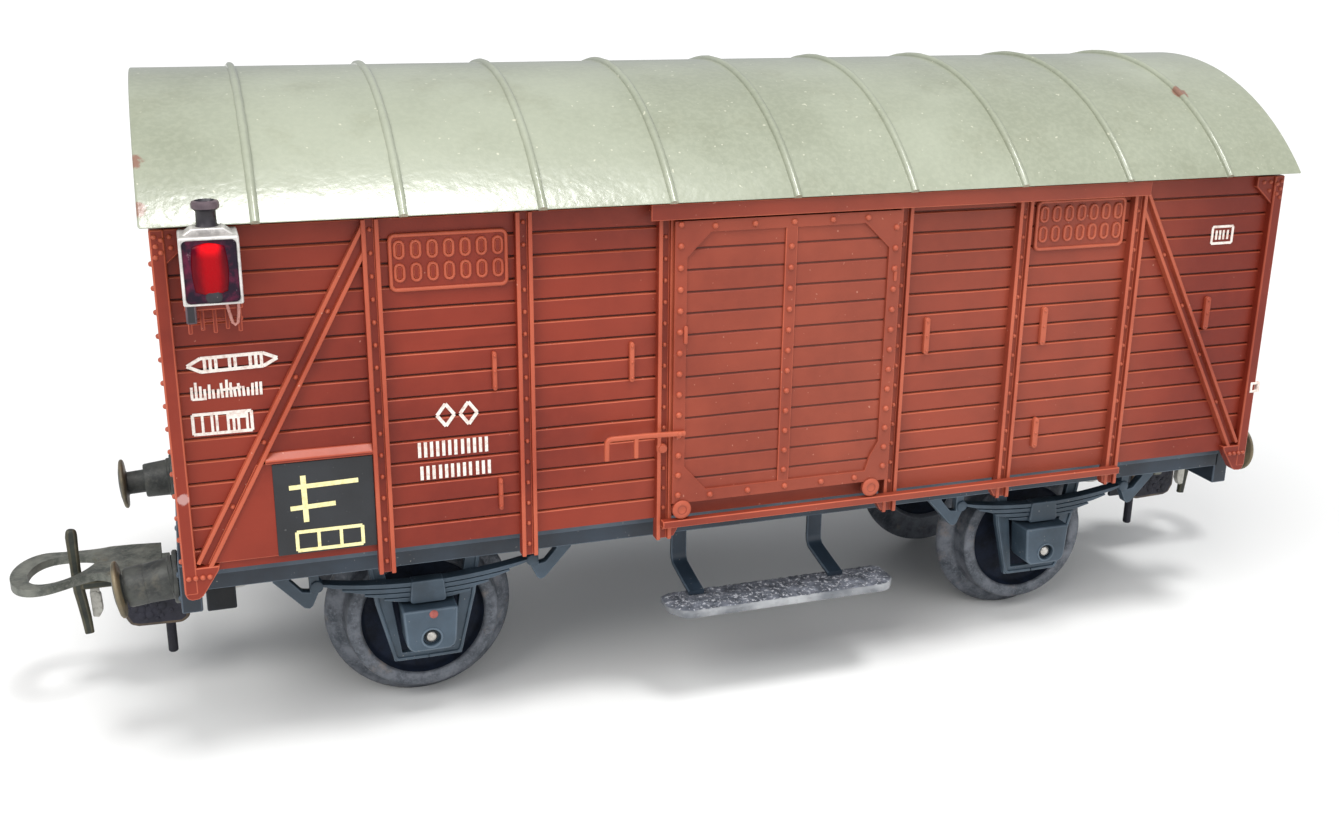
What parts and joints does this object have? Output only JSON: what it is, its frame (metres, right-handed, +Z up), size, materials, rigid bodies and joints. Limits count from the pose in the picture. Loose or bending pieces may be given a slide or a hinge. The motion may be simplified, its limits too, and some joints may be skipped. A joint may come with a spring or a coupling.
{
  "type": "model goods wagon",
  "caption": "Scale model covered goods wagon with planked sides, sliding doors, a ribbed arched roof, disc wheelsets, buffers and swivelling loop couplings.",
  "frame": {"origin": "middle of the wagon on the surface it stands on, at the lowest point of the wheel flanges; the rail top lies 1.4 mm above it", "axes": "+X along the wagon to its right end seen from the front, +Y to its back side, +Z up"},
  "size_m": [0.1116, 0.0406, 0.0479],
  "materials": {
    "body_red": "red-brown moulded plastic with a satin sheen",
    "roof_grey": "grey-green moulded plastic with a satin sheen",
    "frame_black": "slate-black moulded plastic",
    "weight_steel": "plain rolled steel",
    "board_black": "rough dark plastic",
    "bright_steel": "turned steel",
    "wheel_grey": "browned wheel metal, worn bright on the treads",
    "coupling_grey": "dull grey stamped metal with brown wear",
    "panel_black": "black painted panel with cream lines",
    "lamp_silver": "silver paint",
    "lens_red": "clear red moulded lens"
  },
  "bodies": {
    "wagon": {"body_shell": "body_red", "door_rail_upper_front": "body_red", "door_rail_upper_back": "body_red", "door_track_lower_front": "body_red", "door_track_lower_back": "body_red", "tail_lamp_bracket_front": "body_red", "tail_lamp_bracket_back": "body_red", "roof": "roof_grey", "underframe": "frame_black", "axle_guard_front_left": "frame_black", "axle_guard_front_right": "frame_black", "axle_guard_back_left": "frame_black", "axle_guard_back_right": "frame_black", "leaf_spring_front_left": "frame_black", "leaf_spring_front_right": "frame_black", "leaf_spring_back_left": "frame_black", "leaf_spring_back_right": "frame_black", "step_bracket_front_left": "frame_black", "step_bracket_front_right": "frame_black", "step_bracket_back_left": "frame_black", "step_bracket_back_right": "frame_black", "buffer_front_left": "frame_black", "buffer_front_right": "frame_black", "buffer_back_left": "frame_black", "buffer_back_right": "frame_black", "coupling_pocket_left": "frame_black", "coupling_pocket_right": "frame_black", "ballast_weight": "weight_steel", "floor_insert": "board_black", "step_board_front": "board_black", "step_board_back": "board_black", "floor_screw_left": "bright_steel", "floor_screw_right": "bright_steel", "coupling_pivot_screw_left": "bright_steel", "coupling_pivot_screw_right": "bright_steel", "notice_panel_front": "panel_black", "notice_panel_back": "panel_black", "tail_lamp_case_front": "lamp_silver", "tail_lamp_case_back": "lamp_silver", "tail_lamp_lens_front": "lens_red", "tail_lamp_lens_back": "lens_red"},
    "door_front": {"door_front": "body_red", "door_latch_front": "body_red"},
    "door_back": {"door_back": "body_red", "door_latch_back": "body_red"},
    "wheelset_left": {"axle_left": "bright_steel", "wheel_front_left": "wheel_grey", "wheel_back_left": "wheel_grey"},
    "coupling_left": {"coupling_drawbar_left": "coupling_grey", "coupling_hook_left": "coupling_grey", "coupling_hinge_pin_left": "bright_steel"},
    "coupling_loop_left": {"coupling_loop_left": "coupling_grey"},
    "wheelset_right": {"axle_right": "bright_steel", "wheel_front_right": "wheel_grey", "wheel_back_right": "wheel_grey"},
    "coupling_right": {"coupling_drawbar_right": "coupling_grey", "coupling_hook_right": "coupling_grey", "coupling_hinge_pin_right": "bright_steel"},
    "coupling_loop_right": {"coupling_loop_right": "coupling_grey"}
  },
  "joints": [
    {"name": "door_front_slide", "type": "slide", "parent": "wagon", "child": "door_front", "axis": [1, 0, 0], "range_m": [0, 0.018]},
    {"name": "door_back_slide", "type": "slide", "parent": "wagon", "child": "door_back", "axis": [-1, 0, 0], "range_m": [0, 0.018]},
    {"name": "wheelset_left_spin", "type": "hinge", "parent": "wagon", "child": "wheelset_left", "pos_m": [-0.0263, 0, 0.0072], "axis": [0, 1, 0], "continuous": true},
    {"name": "wheelset_right_spin", "type": "hinge", "parent": "wagon", "child": "wheelset_right", "pos_m": [0.0263, 0, 0.0072], "axis": [0, 1, 0], "continuous": true},
    {"name": "coupling_left_swivel", "type": "hinge", "parent": "wagon", "child": "coupling_left", "pos_m": [-0.0395, 0, 0.0089], "axis": [0, 0, 1], "range_deg": [-15, 15]},
    {"name": "coupling_right_swivel", "type": "hinge", "parent": "wagon", "child": "coupling_right", "pos_m": [0.0395, 0, 0.0089], "axis": [0, 0, 1], "range_deg": [-15, 15]},
    {"name": "coupling_loop_left_lift", "type": "hinge", "parent": "coupling_left", "child": "coupling_loop_left", "pos_m": [-0.0452, 0, 0.00895], "axis": [0, 1, 0], "range_deg": [0, 25]},
    {"name": "coupling_loop_right_lift", "type": "hinge", "parent": "coupling_right", "child": "coupling_loop_right", "pos_m": [0.0452, 0, 0.00895], "axis": [0, -1, 0], "range_deg": [0, 25]}
  ]
}
